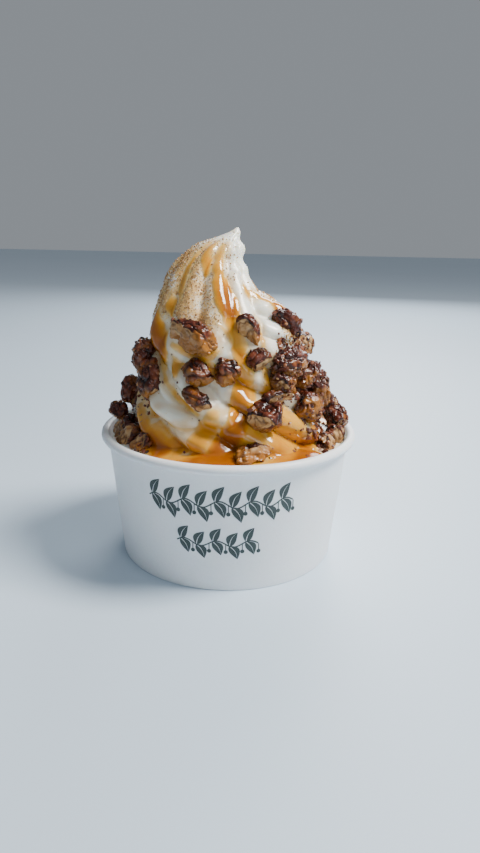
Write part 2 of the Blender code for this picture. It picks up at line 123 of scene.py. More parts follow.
SHOULDER_SLOPE = 0.35
SHOULDER_RIGHT = (7, 12)
SHOULDER_FRONT = (6, 0)
# The tip, drawn out to a point that leans to the right
TIP_HEIGHTS = (114.0, 119.6)
TIP_LINE = ([112.5, 116.0, 118.6, 120.2], [-4.0, -1.2, 0.8, 1.4])
TIP_SHIFT = 0.9
TIP_PINCH = 0.45

# Folds of one layer over the next on the lower left: angle and height along each
FOLDS = [
    [(204, 81), (213, 76), (226, 69.5), (240, 64.5), (252, 61.5), (264, 61)],
    [(190, 64), (209, 59.5), (229, 58), (243, 56.5), (254, 56.5), (268, 58), (281, 61)],
]
FOLD_REACH = 1.9
FOLD_DEPTH = 1.05
FOLD_FADE = 10              # degrees over which a fold dies out at its ends

# Caramel: angle, height and width of each station of a run
CARAMEL_RUNS = [
    [(219, 115, 2.4), (216, 111, 3.6), (217, 107, 4), (220, 101, 4), (225, 96, 2.6)],
    [(235, 115.5, 2.6), (231, 112, 4.4), (235, 108.5, 5), (238, 105.5, 4)],
    [(251, 114, 3.4), (251, 108, 5), (256, 104, 5.8), (261, 100, 7.8), (266, 96.5, 9.6), (270, 93, 8.6),
     (272, 91, 5.5)],
    [(214, 97, 3.6), (216, 94, 5.6), (218, 91.5, 3.6)],
    [(196, 100, 2.6), (198, 95, 4.4), (203, 90, 7), (208, 86, 9), (213, 81, 8.6), (216, 77, 6)],
    [(295, 101.5, 3), (296, 99.6, 5.2), (298, 98, 3.6)],
    [(312, 98.5, 3.4), (325, 97, 5.4), (338, 94.5, 7), (346, 91.5, 7.6), (349, 88, 7.4), (347, 84.5, 6.6)],
    [(231, 82, 3.4), (242, 80, 5.4), (253, 79, 5.4), (262, 81, 3)],
    [(260, 90, 2.4), (267, 87, 3.2), (273, 83, 3.6), (277, 78, 3.6), (280, 74, 3.6)],
    [(278, 92, 3.4), (277, 86, 5), (278, 82, 5.6), (280, 78, 5.4), (281, 75, 4.4)],
    [(299, 91, 2.6), (297, 85, 3.4), (296, 80, 3)],
    [(283, 75, 5), (281, 70, 7.5), (279, 66, 8.5), (278, 61, 9), (276, 57, 9.5), (272, 52, 10.5),
     (267, 48, 11)],
    [(287, 74, 3), (285, 70, 4), (280, 65, 4.6), (277, 60, 4)],
    [(296, 76, 3), (299, 70, 4.4), (298, 66, 3.4)],
    [(296, 56, 7), (300, 51, 9), (298, 47, 9)],
    [(330, 54, 6), (328, 50, 8), (320, 47, 8)],
    [(359, 73, 2.6), (0, 66, 3.2), (0, 59, 3.6), (0, 53, 4.2)],
    [(340, 66, 3), (330, 62, 4.6), (325, 58, 5), (313, 58, 4)],
    [(202, 58, 4), (214, 53, 6), (224, 49.5, 8), (236, 46.5, 8)],
    [(288, 69, 2.4), (287, 66.5, 4.4), (285, 63, 4)],
    [(255, 77, 3), (259, 74.5, 5.4), (262, 72, 3)],
    [(222, 54, 3.2), (232, 50, 4.6), (243, 47, 5)],
    [(231, 77, 3.6), (231, 74.5, 5.4), (232, 72, 4)],
    [(192, 62, 2.4), (209, 58.2, 2.4), (229, 56.7, 2), (243, 55.2, 1.9), (254, 55.2, 1.9),
     (266, 56.6, 2.4)],
    [(206, 79, 2), (213, 74.8, 2.6), (226, 68.2, 2.6), (240, 63.2, 2.6), (252, 60.2, 2.4)],
    [(204, 57, 3), (218, 53.5, 3.4), (232, 50, 4), (246, 48, 4.6)],
    [(74, 91, 4), (78, 84, 5), (82, 74, 6), (78, 62, 6), (72, 52, 6)],
    [(140, 106, 4), (142, 98, 5), (142, 86, 5), (134, 76, 6), (138, 66, 5), (142, 54, 6)],
    [(100, 108, 2.6), (97, 102, 3.2), (101, 96, 2.6)],
    [(22, 74, 4), (28, 66, 4), (30, 56, 6)],
    [(110, 70, 4), (112, 62, 5), (116, 54, 6)],
    [(46, 84, 3), (52, 78, 4.4), (50, 70, 3.4)],
    [(160, 62, 3), (158, 56, 4.4), (150, 50, 5)],
]
# Caramel lying beside the rim: angle, radius and width, read from above
CARAMEL_RIM = [
    [(228, 40.5, 2), (240, 41, 4), (252, 41.2, 6), (262, 41, 9), (272, 40.8, 8), (284, 40.9, 3),
     (296, 40.8, 5), (308, 40.6, 11), (320, 41, 7)],
    [(12, 40, 5), (26, 40.5, 7), (40, 40.5, 5)],
    [(96, 40.5, 4), (108, 40.5, 6), (118, 40.5, 4)],
]
# Thin sheets of caramel, in the same terms
CARAMEL_FILMS = [
    [(304, 60, 8), (309, 56, 12), (312, 52, 13), (308, 48.5, 12), (299, 47, 9)],
    [(286, 60, 7), (286, 55, 10), (283, 50, 12), (280, 47, 12)],
    [(300, 64, 7), (304, 59, 11), (302, 53, 14), (300, 48, 14)],
    [(262, 60, 7), (258, 55, 8), (254, 50, 9)],
    [(280, 82, 6), (276, 86, 7), (270, 90, 7)],
    [(200, 66, 3), (206, 61, 4), (216, 57, 5)],
    [(150, 100, 8), (146, 92, 9), (138, 82, 9)],
    [(66, 80, 8), (70, 70, 9), (74, 60, 9)],
]
RUN_THICKNESS = 0.26        # a run stands out by this share of its half width
RUN_LIMIT = 0.95            # and by no more than this
RUN_SAG = (0.7, 1.15)       # share of its thickness at its top and at its bottom
FILM_SAG = (0.32, 0.54)     # the same for a sheet
RUN_EDGE = 1.1              # distance over which it rises from its edge
RUN_SKIRT = 0.6             # its edge runs on this deep under the yogurt's surface
SKIRT_SLOPE = 0.55
CREASE_FILLING = 0.5        # it is thicker by this share in a crease
EDGE_WOBBLE = 0.6
EDGE_NOISE = ((1.0, 3.4, 5), (0.25, 1.3, 6))    # size, spacing and seed of each layer
POOLING = 0.8               # syrup spreads this much further along a crease
POOLING_FROM = 0.4
STAIN_REACH = 2.6           # a trace of syrup lies this far past a run's edge
# strength of the syrup tint on the yogurt, which also carries painted shade in creases and on the lower left
# front
STAIN_AND_SHADE_STRENGTH = 0.75
CARAMEL_SMOOTHING = 4
SAMPLES_PER_STATION = 22
CARAMEL_FLOOR = 43.0        # no caramel shows below this height
FAR_OUTSIDE = -9.0
BLOCK = 1500                # points worked on at a time
# Caramel spans this share of the depth of ridges and creases, measured from the swirl's even profile:
# its heights and its radii
SPAN = 0.6
SPAN_PROFILE = ([44, 58, 70, 84], [37, 33.5, 29.5, 25])
SPAN_FADE = (84, 77)

# Pecan pieces: the angle at which each lies, the turn of its length from level and the rise of its
# outer face; which way its broken, tan side faces (along its level, up and out) and how far out that
# lies; its crumbs of sugar crust; and how far caramel covers it from its lower side up
Pecan = namedtuple("Pecan", "angle turn rise broken broken_from crust syrup",
                   defaults=((0.50, -0.40, 0.75), 0.50, 40, 0.0))
PECANS = [Pecan(*row) for row in (
    (243, -10, 12, (-0.32, -0.2, 0.88), 0.26, 6, 0.65),
    (285, 98, 10, (-0.6, -0.45, 0.7), 0.14, 4, 0.3),
    (334, 112, 20, (0.6, 0.7, 0.2), 0.7, 40),
    (352, 80, 15, (-0.8, 0.1, 0.6), 0.1, 24, 0.2),
    (291, 20, 10, (0.3, -0.6, 0.7), 0.62, 10),
    (250, 25, 5, (-0.8, -0.5, 0.2), 0.84, 8, 0.6),
    (268, -30, 5, (0.4, -0.6, 0.5), 0.86, 10, 0.5),
    (252, -35, 10, (0.5, -0.5, 0.7), 0.7, 4),
    (317, 10, 15, (-0.2, -0.7, 0.6), 0.84, 190, 0.35),
    (338, 60, 15, (0.1, -0.6, 0.8), 0.72, 130, 0.5),
    (309, -20, 5, (-0.6, -0.3, 0.7), 0.7, 90, 0.6),
    (349, 84, 10, (-0.8, -0.1, 0.5), 0.84, 180, 0.45),
    (328, 40, 10, (-0.7, -0.6, 0.5), 0.78, 120, 0.5),
    (302, 4, 5, (0.1, -0.6, 0.8), 0.2, 12),
    (291, 78, 8, (-0.65, -0.55, 0.6), 0.52, 14, 0.2),
    (196, 78, 15, (-0.9, 0.2, -0.4), 0.7, 150),
    (210, 110, 8, (0.8, -0.6, 0.1), 0.88, 130),
    (184, 98, 5, (0.6, -0.6, -0.5), 0.85, 10),
    (184, 8, 25, (0.2, -0.8, 0.5), 0.72, 16, 0.15),
    (190, 70, 52, (0.3, 0.3, 0.9), 0.25, 40),
    (205, 62, 50, (0.2, 0.4, 0.9), 0.3, 40),
    (219, 50, 45, (0.1, 0.5, 0.9), 0.35, 30, 0.5),
    (357, 60, 30, (-0.6, -0.6, 0.6), 0.62, 130, 0.3),
    (345, 20, 45, (-0.7, 0.1, 0.7), 0.3, 90),
    (2, 20, 20, (-0.2, 0.6, 0.8), 0.5, 60),
    (284, 6, 55, (0.3, 0.5, 0.8), 0.25, 12, 0.8),
    (334, 30, 60, (-0.4, 0.5, 0.8), 0.3, 40, 0.5),
    (28, 40, 15),
    (64, -30, 10),
    (112, 15, 15),
    (152, 70, 10),
    (98, -20, 10, (0.5, -0.4, 0.75), 0.5, 40, 0.4),
    (22, 65, 12),
    (48, 10, 50),
    (86, -15, 55),
    (124, 25, 50),
    (158, 5, 45),
)]
PECAN_VOXEL = 0.34
PECAN_SMOOTHING = 4
PECAN_SWELL = 0.5           # closes the solids' gap, so that a piece sits in the yogurt
PECAN_LUMPS = ((0.55, 2.4, 30), (0.25, 0.9, 60))    # size, spacing and seed of each layer
WRINKLE = 0.9               # depth of a wrinkle
WRINKLE_STRETCH = (0.45, 1.0, 1.0)
WRINKLE_SPACING = 2.4
WRINKLE_SHARE = 0.16        # how much of the skin the wrinkles take up
FLESH_FLATNESS = 0.75
FLESH_EDGE = (-0.55, 0.35)  # distances over which the skin gives way to the broken side
SYRUP_SLOPE = 0.12
SYRUP_EDGE = (0.35, 0.85)
# Drips of caramel over the pieces on the right: angle, radius and height of their stations
SYRUP_DRIPS = [
    [(322, 35, 76), (332, 36, 71), (338, 38, 65), (340, 40, 59)],
    [(312, 35, 70), (320, 37, 65), (327, 40, 60), (330, 41, 55)],
]
DRIP_STEPS = 30
DRIP_REACH = (3.2, 1.8)     # caramel fades out and is whole at these distances from a drip

# Loose grains: how many, the seed of their places, and the smallest and the largest size
SUGAR_GRAINS = (5200, 11, (0.3, 0.75))
LOOSE_CRUMBS = (1800, 12, (0.6, 3.0))
GRAIN_HEIGHTS = (44, 119)
GRAIN_TRIES = 80            # for each grain that is wanted
CRUST_SEED = 5
CRUST_SIZES = (0.5, 1.5)    # the smallest, and what the largest has more
GRAIN_TONE = 0.42           # from 0, dark, to 1, pale
CRUST_TONE = 0.43
TONE_SPREAD = 0.25
CRUMB_REACH = 43.4          # crumbs further out than this, less a share of their size, would touch the cup
CRUMB_MARGIN = 0.7

# Printed garland on the cup: middle angle, height, length, half height and number of leaf pairs
GARLANDS = [(267.5, 33.6, 51.0, 5.6, 9), (266.5, 18.8, 28.0, 5.0, 5)]
STEM_WIDTH = 0.5
STEM_WAVE = 0.22            # as a share of the garland's half height
STEM_STEPS = 16             # from one pair of leaves to the next
LEAF_PLACE = 0.25           # how far on from a pair of leaves to the next
LEAF_LENGTH = 1.18          # as a share of the garland's half height
LEAF_WIDTH = 3.3
LEAF_FULLNESS = 0.8
LEAF_BEND = 0.12
LEAF_VEIN = 0.16            # half the gap along a leaf's middle
LEAF_SPREAD = math.radians(62)
LEAF_STEPS = 12
BERRY_RADIUS = 0.75
BERRY_PLACE = 1.03
BERRY_DROP = 0.6            # as a share of the garland's half height
BERRY_STEPS = 11
THINNEST = 0.01             # half width at which a printed shape ends
INK_LIFT = 0.06

# Soft daylight from the right and above: place, size, power and colour of each light
LIGHTS = {
    "key": ((520, -60, 760), 340, 17.0, (1.0, 0.985, 0.955)),
    "back": ((200, 900, 480), 560, 6.6, (0.95, 0.98, 1.0)),
    "front": ((600, -800, 380), 500, 2.0, (0.95, 0.98, 1.0)),
}
LIGHTS_AIM = (0, 0, 60)
ROOM_COLOUR = (0.72, 0.78, 0.85, 1.0)
ROOM_STRENGTH = 0.36
FLOOR_REACH = 4000
NOISE_ROUGHNESS = 0.55


def polar(angle, radius, height):
    """Point at an angle round the axis."""
    return np.array([radius * math.cos(math.radians(angle)), radius * math.sin(math.radians(angle)), height])


def smooth_rows(rows, count):
    """Evenly spaced samples of a smooth curve through rows of numbers."""
    rows = np.array(rows, float)
    chord = np.r_[0, np.cumsum(np.linalg.norm(np.diff(rows, axis=0), axis=1))]
    slope = np.gradient(rows, chord, axis=0)
    samples = []
    for place in np.linspace(0, chord[-1], count):
        k = min(np.searchsorted(chord, place, "right") - 1, len(rows) - 2)
        span = chord[k + 1] - chord[k]
        u = (place - chord[k]) / span
        samples.append((2 * u**3 - 3 * u**2 + 1) * rows[k] + (u**3 - 2 * u**2 + u) * span * slope[k]
                       + (3 * u**2 - 2 * u**3) * rows[k + 1] + (u**3 - u**2) * span * slope[k + 1])
    return np.array(samples)


def ring_points(reach, angles, height, centre=(0, 0)):
    """Points at a reach from a centre, all round."""
    return np.stack([centre[0] + reach * np.cos(angles), centre[1] + reach * np.sin(angles),
                     height + np.zeros(len(angles))], 1)


def loft_data(rings):
    """Points and faces of a closed body through rings of equal length, bottom to top."""
    count = len(rings[0])
    points = np.vstack([*rings, np.mean(rings[0], axis=0), np.mean(rings[-1], axis=0)])
    around = np.arange(count)
    onward = (around + 1) % count
    faces = []
    for i in range(len(rings) - 1):
        low, high = i * count, (i + 1) * count
        faces += np.stack([low + around, low + onward, high + onward, high + around], 1).tolist()
    bottom, top = len(points) - 2, len(points) - 1
    last = (len(rings) - 1) * count
    faces += [(bottom, k, j) for j, k in zip(around.tolist(), onward.tolist())]
    faces += [(top, last + j, last + k) for j, k in zip(around.tolist(), onward.tolist())]
    return points, faces


def joined_data(parts):
    """Points and faces of several bodies as one list."""
    points, faces, start = [], [], 0
    for part_points, part_faces in parts:
        points.append(np.asarray(part_points))
        faces += [tuple(index + start for index in face) for face in part_faces]
        start += len(part_points)
    return np.vstack(points), faces


def mesh_of(name, points, faces):
    """New mesh from points in millimetres."""
    mesh = bpy.data.meshes.new(name)
    mesh.from_pydata((np.asarray(points) * MM).tolist(), [], faces)
    return mesh


def add_object(name, mesh, surface):
    """New object in the scene, with one material."""
    mesh.materials.clear()
    mesh.materials.append(surface)
    made = bpy.data.objects.new(name, mesh)
    bpy.context.scene.collection.objects.link(made)
    return made


def add_piece(name, points, faces, surface, smooth=True):
    """New object from points in millimetres."""
    made = add_object(name, mesh_of(name, points, faces), surface)
    if smooth:
        made.data.shade_smooth()
    return made


def ease_points(item, rounds):
    """Add rounds of smoothing to an object."""
    ease = item.modifiers.new("ease", "SMOOTH")
    ease.iterations = rounds
    ease.factor = SMOOTH_FACTOR


def apply_modifiers(item):
    """Replace an object's mesh by its evaluated one."""
    result = bpy.data.meshes.new_from_object(item.evaluated_get(bpy.context.evaluated_depsgraph_get()))
    item.modifiers.clear()
    item.data = result


def remesh(item, voxel, rounds):
    """Fuse an object's bodies into one fine, even surface."""
    change = item.modifiers.new("even", "REMESH")
    change.mode = "VOXEL"
    change.voxel_size = voxel * MM
    ease_points(item, rounds)
    apply_modifiers(item)
    item.data.shade_smooth()


def read_points(item):
    """Points and normals of a mesh, in millimetres."""
    count = len(item.data.vertices)
    points = np.empty(count * 3, np.float32)
    normals = np.empty(count * 3, np.float32)
    item.data.vertices.foreach_get("co", points)
    item.data.vertices.foreach_get("normal", normals)
    return points.reshape(-1, 3).astype(float) / MM, normals.reshape(-1, 3).astype(float)


def write_points(item, points):
    """Move a mesh's points, given in millimetres."""
    item.data.vertices.foreach_set("co", (points * MM).astype(np.float32).ravel())
    item.data.update()


def corners_of(item):
    """Corner numbers of each face of an object's mesh."""
    return [tuple(face.vertices) for face in item.data.polygons]


def paint(item, name, values):
    """Store one number for each point, for the materials to read."""
    layer = item.data.attributes.new(name, "FLOAT", "POINT")
    layer.data.foreach_set("value", np.asarray(values, np.float32))


def noise_at(points, spacing, seed=0.0):
    """Smooth noise between -1 and 1 for rows of points."""
    shift = Vector((seed * 7.3, seed * 1.9, seed * 3.1))
    return np.array([noise.noise(Vector(point) / spacing + shift) for point in points])


def layered_noise(points, layers, seed=0):
    """Sum of layers of noise, each with its size, spacing and seed."""
    return sum(size * noise_at(points, spacing, seed + own) for size, spacing, own in layers)


def smoothstep(low, high, values):
    """0 below low, 1 above high, and a smooth rise between."""
    share = np.clip((values - low) / (high - low), 0, 1)
    return share * share * (3 - 2 * share)


def clamped(value):
    """A number held between 0 and 1."""
    return min(1.0, max(0.0, value))


def tree_of(item):
    """Ray casting tree of an object's mesh."""
    return BVHTree.FromPolygons([vertex.co.copy() for vertex in item.data.vertices], corners_of(item))


def with_alpha(colour):
    """Colour with its alpha, from three numbers or one grey. Another node's output stays as it is."""
    if isinstance(colour, (int, float)):
        colour = (colour, colour, colour)
    return (*colour, 1.0) if isinstance(colour, tuple) else colour


class Look:
    """A node material while it is made."""

    def __init__(self, name):
        self.material = bpy.data.materials.new(name)
        self.material.use_nodes = True
        self.nodes = self.material.node_tree.nodes

    def feed(self, socket, source):
        """Give an input a value or another node's output."""
        if isinstance(source, bpy.types.NodeSocket):
            self.material.node_tree.links.new(source, socket)
        else:
            socket.default_value = source

    def feed_all(self, node, inputs):
        """Give a node the inputs that are named, with underscores for spaces."""
        for key, source in inputs.items():
            self.feed(node.inputs[key.replace("_", " ")], source)

    def node(self, kind, **inputs):
        """New node."""
        made = self.nodes.new(kind)
        self.feed_all(made, inputs)
        return made

    def noise(self, scale, detail=3.0):
        """Noise in the object's own coordinates. Scale is repeats per metre."""
        place = self.node("ShaderNodeTexCoord").outputs["Object"]
        made = self.node("ShaderNodeTexNoise", Vector=place, Scale=scale, Detail=detail,
                         Roughness=NOISE_ROUGHNESS)
        return made.outputs["Fac"]

    def stored(self, name):
        """A number stored on the mesh's points."""
        made = self.node("ShaderNodeAttribute")
        made.attribute_name = name
        return made.outputs["Fac"]

    def ramp(self, source, *stops):
        """Colours, or greys, by their places along a source."""
        made = self.node("ShaderNodeValToRGB", Fac=source)
        while len(made.color_ramp.elements) < len(stops):
            made.color_ramp.elements.new(0.5)
        for element, (place, colour) in zip(made.color_ramp.elements, stops):
            element.position = place
            element.color = with_alpha(colour)
        return made.outputs["Color"]

    def mix(self, factor, first, second, blend="MIX"):
        """Mix of two colours."""
        made = self.node("ShaderNodeMix")
        made.data_type = "RGBA"
        made.blend_type = blend
        self.feed(made.inputs["Factor"], factor)
        for socket, colour in zip([item for item in made.inputs if item.type == "RGBA"], (first, second)):
            self.feed(socket, with_alpha(colour))
        return [item for item in made.outputs if item.type == "RGBA"][0]

    def product(self, first, second):
        """Product of two colours."""
        return self.mix(1.0, first, second, "MULTIPLY")

    def bump(self, height, strength, distance):
        """Fine relief from a height."""
        made = self.node("ShaderNodeBump", Height=height, Strength=strength, Distance=distance)
        return made.outputs["Normal"]

    def finish(self, **inputs):
        """The material, with the inputs of its shader."""
        self.feed_all(self.nodes["Principled BSDF"], inputs)
        return self.material


def yogurt_material():
    """Off-white frozen yogurt with light under its surface, dusted with brown sugar and tinted by syrup; the
    tint is partly painted shade, in creases and on the lower left front.
    """
    look = Look("frozen_yogurt")
    base = look.ramp(look.noise(90.0), (0.3, (0.84, 0.815, 0.70)), (0.7, (0.93, 0.915, 0.815)))
    speck = look.noise(1500.0, 2.0)
    grains = look.node("ShaderNodeMath")
    grains.operation = "MULTIPLY_ADD"
    for socket, source in zip(grains.inputs, (look.stored("dust"), 0.55, speck)):
        look.feed(socket, source)
    dusting = look.ramp(grains.outputs["Value"], (0.66, 0), (0.78, 1))
    # syrup tint over the yogurt, partly painted shade in creases and on the lower left front
    stained_and_shaded = look.mix(look.stored("stain_and_shade"), base, (0.72, 0.455, 0.17))
    grit = look.ramp(speck, (0.35, (0.52, 0.25, 0.065)), (0.62, (0.84, 0.56, 0.22)))
    return look.finish(
        Base_Color=look.mix(dusting, stained_and_shaded, grit), Normal=look.bump(look.noise(900.0, 4.0), 0.25, 0.0002),
        Roughness=0.33, Subsurface_Weight=0.5, Subsurface_Radius=(1.0, 0.8, 0.5),
        Subsurface_Scale=0.0022, Coat_Weight=0.3, Coat_Roughness=0.2)


def caramel_material():
    """Glossy amber syrup, paler where thin and deeper where thick."""
    look = Look("caramel")
    depth = look.ramp(
        look.stored("thickness"), (0.0, (0.84, 0.67, 0.40)), (0.18, (0.78, 0.485, 0.15)),
        (0.4, (0.71, 0.335, 0.03)), (0.7, (0.55, 0.205, 0.004)), (1, (0.33, 0.088, 0.001)))
    shade = look.ramp(look.noise(200.0), (0.35, (0.88, 0.84, 0.8)), (0.65, 1))
    return look.finish(
        Base_Color=look.product(depth, shade), Roughness=0.14, Subsurface_Weight=0.25,
        Subsurface_Radius=(1.0, 0.35, 0.05), Subsurface_Scale=0.0015, Coat_Weight=0.15, Coat_Roughness=0.05)


def pecan_material():
    """Dark glazed skin round tan broken flesh, with painted shade darkening the wrinkles."""
    look = Look("glazed_pecan")
    cloud = look.noise(300.0, 4.0)
    skin = look.ramp(cloud, (0.30, (0.012, 0.0025, 0.0015)), (0.46, (0.046, 0.008, 0.004)),
                     (0.58, (0.118, 0.024, 0.009)), (0.74, (0.26, 0.072, 0.023)))
    inner = look.ramp(cloud, (0.30, (0.21, 0.090, 0.032)), (0.5, (0.45, 0.25, 0.10)),
                      (0.72, (0.65, 0.42, 0.2)))
    broken = look.stored("broken")
    face = look.mix(look.ramp(broken, (0.0, 0), (0.55, 0), (0.75, 1)), skin, inner)
    rim = look.ramp(broken, (0.15, 1), (0.4, (0.25, 0.2, 0.2)), (0.65, 1))
    # painted shade: the wrinkles' creases are darkened
    crease_shade = look.ramp(look.stored("crease"), (0.0, 1), (1.0, (0.3, 0.24, 0.22)))
    deep = look.product(look.product(face, rim), crease_shade)
    glaze = look.ramp(look.noise(170.0, 2.0), (0.54, 0), (0.66, 0.55))
    glazed = look.mix(glaze, deep, (0.30, 0.10, 0.015))
    return look.finish(
        Base_Color=look.mix(look.stored("syrup"), glazed, (0.31, 0.115, 0.017)),
        Normal=look.bump(look.noise(800.0, 5.0), 0.6, 0.0004),
        Roughness=look.ramp(cloud, (0.35, 0.18), (0.7, 0.38)), Specular_IOR_Level=0.3,
        Coat_Weight=0.12, Coat_Roughness=0.12)


def crust_material():
    """Baked sugar crust in red-brown crumbs, some paler."""
    look = Look("sugar_crust")
    tone = look.ramp(look.stored("tone"), (0.0, (0.040, 0.008, 0.003)), (0.45, (0.125, 0.028, 0.010)),
                     (0.75, (0.27, 0.085, 0.027)), (1, (0.52, 0.27, 0.1)))
    return look.finish(Base_Color=tone, Roughness=0.32, Coat_Weight=0.2, Coat_Roughness=0.15)


def plain_material(name, scale, detail, dark, light, roughness):
    """Matt material of two colours in fine clouds."""
    look = Look(name)
    tone = look.ramp(look.noise(scale, detail), (0.3, dark), (0.7, light))
    return look.finish(Base_Color=tone, Roughness=roughness)


def sugar_material():
    """Brown sugar in grains, each point a little different."""
    return plain_material("brown_sugar", 700.0, 2.0, (0.30, 0.14, 0.045), (0.62, 0.38, 0.15), 0.45)


def ink_material():
    """Dark grey-green printing ink."""
    return plain_material("print_ink", 2500.0, 3.0, (0.026, 0.042, 0.040), (0.036, 0.055, 0.052), 0.5)


def floor_material():
    """Pale, smooth table top with a soft reflection."""
    return plain_material("pale_floor", 3.0, 2.0, (0.53, 0.64, 0.745), (0.55, 0.66, 0.765), 0.45)


def paper_material():
    """White coated paper with faint fibres."""
    look = Look("cup_paper")
    fibre = look.noise(1200.0, 5.0)
    return look.finish(
        Base_Color=look.ramp(fibre, (0.3, (0.80, 0.82, 0.84)), (0.7, (0.84, 0.86, 0.875))),
        Normal=look.bump(fibre, 0.12, 0.00008),
        Roughness=look.ramp(look.noise(60.0, 2.0), (0.3, 0.42), (0.7, 0.52)),
        Subsurface_Weight=0.1, Subsurface_Scale=0.001)


def lobed_ring(radius, centre, height, lobes, depth, phase):
    """Ring of rounded ridges, whose points follow the ridges round as they twist."""
    angles = np.linspace(0, 2 * math.pi, lobes * FINE_COLUMNS, endpoint=False)
    reach = radius * (1 - depth * (1 - np.abs(np.cos(lobes * angles / 2))))
    return ring_points(reach, angles + phase, height, centre)


def lean(ring, spec, share):
    """Lower one side of a ring and raise the other, by a share of the lean that its form has."""
    around = np.arctan2(ring[:, 1], ring[:, 0])
    ring[:, 2] -= spec["tilt"] * np.cos(around - math.radians(spec["tilt_to"])) * share


def turn_data(spec):
    """One leaning, ridged turn of the swirl."""
    rows = smooth_rows(spec["outline"], FINE_RINGS)
    widest = rows[:, 0].max()
    walked = np.r_[0, np.cumsum(np.linalg.norm(np.diff(rows, axis=0), axis=1))]
    rings = []
    for (radius, height), place in zip(rows, walked):
        fade = min(1.0, 1.3 * (radius / widest) ** 2)
        phase = math.radians(spec["start"] + spec["twist"] * (walked[-1] - place))
        ring = lobed_ring(radius, (0, 0), height, spec["lobes"], spec["depth"] * fade, phase)
        lean(ring, spec, radius / widest)
        rings.append(ring)
    return loft_data(rings)


def peak_data(spec):
    """Lobe drawn up to a bent tip."""
    rows = smooth_rows(spec["stations"], FINE_RINGS)
    rings = []
    for x, y, height, radius in rows:
        climbed = (height - rows[0, 2]) / (rows[-1, 2] - rows[0, 2])
        phase = math.radians(spec["twist"] * (height - rows[0, 2]))
        ring = lobed_ring(radius, (x, y), height, spec["lobes"], spec["depth"], phase)
        lean(ring, spec, (1 - climbed) ** 2)
        rings.append(ring)
    return loft_data(rings)


def wall_radius(height):
    """Outside of the cup's straight wall."""
    return BASE_RADIUS + (WALL_TOP_RADIUS - BASE_RADIUS) * height / (CUP_HEIGHT - 2 * BEAD_RADIUS)


def fill_data(outline):
    """Frozen yogurt inside the cup, with its uneven top."""
    angles = np.linspace(0, 2 * math.pi, FILL_COLUMNS, endpoint=False)
    waves = sum(size * np.sin(count * angles + start) for count, start, size in FILL_RIPPLES)
    rings = []
    for radius, height in outline:
        share = 1.0 if height > FILL_TOP[0][1] else 0.0
        rings.append(ring_points(radius, angles, height + FILL_WAVE * share * waves * radius / RIM_RADIUS))
    return loft_data(rings)


def uneven_relief(points):
    """Slight unevenness of the whole swirl."""
    return layered_noise(points, UNEVEN) * smoothstep(*UNEVEN_FROM, points[:, 2])


def bump_relief(points, normals):
    """Bumps down the right edge of the peak."""
    middle, spacing, size = PEAK_BUMPS
    low, high = PEAK_BUMPS_FADE
    z = points[:, 2]
    bumps = size * np.cos(2 * math.pi * (z - middle) / spacing) * smoothstep(*PEAK_BUMPS_SIDE, normals[:, 0])
    return bumps * smoothstep(*low, z) * smoothstep(*high, z)


def lobe_relief(points):
    """Soft lobes on the front of the shoulder."""
    middle, spacing, size = SHOULDER_LOBES
    low, high = SHOULDER_LOBES_FADE
    x, y, z = points.T
    lobes = size * np.abs(np.cos(math.pi * (z + SHOULDER_SLOPE * x - middle) / spacing))
    lobes *= smoothstep(*SHOULDER_RIGHT, x) * smoothstep(*SHOULDER_FRONT, y)
    return lobes * smoothstep(*low, z) * smoothstep(*high, z)


def fold_relief(points):
    """How far out the surface stands above each fold's line, and in below it."""
    relief = np.zeros(len(points))
    turned = np.degrees(np.arctan2(points[:, 1], points[:, 0])) % 360
    for fold in FOLDS:
        angles, heights = np.array(fold, float).T
        above = (points[:, 2] - np.interp(turned, angles, heights)) / FOLD_REACH
        ends = smoothstep(angles[0], angles[0] + FOLD_FADE, turned)
        ends *= smoothstep(angles[-1], angles[-1] - FOLD_FADE, turned)
        relief += FOLD_DEPTH * ends * above * np.exp(0.5 - 0.5 * above**2)
    return relief


def draw_out_tip(points):
    """Pull the peak's tip to the right and pinch it to a point."""
    drawn = smoothstep(*TIP_HEIGHTS, points[:, 2])
    aside = points[:, 0] - np.interp(points[:, 2], *TIP_LINE)
    points[:, 0] += TIP_SHIFT * drawn - TIP_PINCH * drawn * aside
    points[:, 1] -= TIP_PINCH * drawn * points[:, 1]


def add_body(item, points, faces):
    """Add one more body to an object's mesh."""
    work = bmesh.new()
    work.from_mesh(item.data)
    scrap = mesh_of("scrap", points, faces)
    work.from_mesh(scrap)
    work.to_mesh(item.data)
    work.free()
    bpy.data.meshes.remove(scrap)
    item.data.shade_smooth()


def build_yogurt(surface):
    """The swirl and its filling as one soft surface, over the plain filling that the cup hides."""
    gap = PAPER + FILL_GAP
    low = FLOOR_RECESS + gap
    middle = (wall_radius(FILL_FLOOR) - gap, FILL_FLOOR)
    bodies = [fill_data([(FILL_INNER, FILL_FLOOR), middle, *FILL_TOP])]
    bodies += [turn_data(spec) for spec in TURNS] + [peak_data(spec) for spec in PEAKS]
    swirl = add_piece("frozen_yogurt_swirl", *joined_data(bodies), surface)
    remesh(swirl, YOGURT_VOXEL, YOGURT_SMOOTHING)
    points, normals = read_points(swirl)
    points += normals * uneven_relief(points)[:, None]
    points += normals * bump_relief(points, normals)[:, None]
    points += normals * lobe_relief(points)[:, None]
    points += normals * fold_relief(points)[:, None]
    draw_out_tip(points)
    write_points(swirl, points)
    hidden_top = (middle[0], FILL_FLOOR + FILL_OVERLAP)
    add_body(swirl, *fill_data([(FILL_INNER, low), (wall_radius(low) - gap, low), hidden_top]))
    return swirl


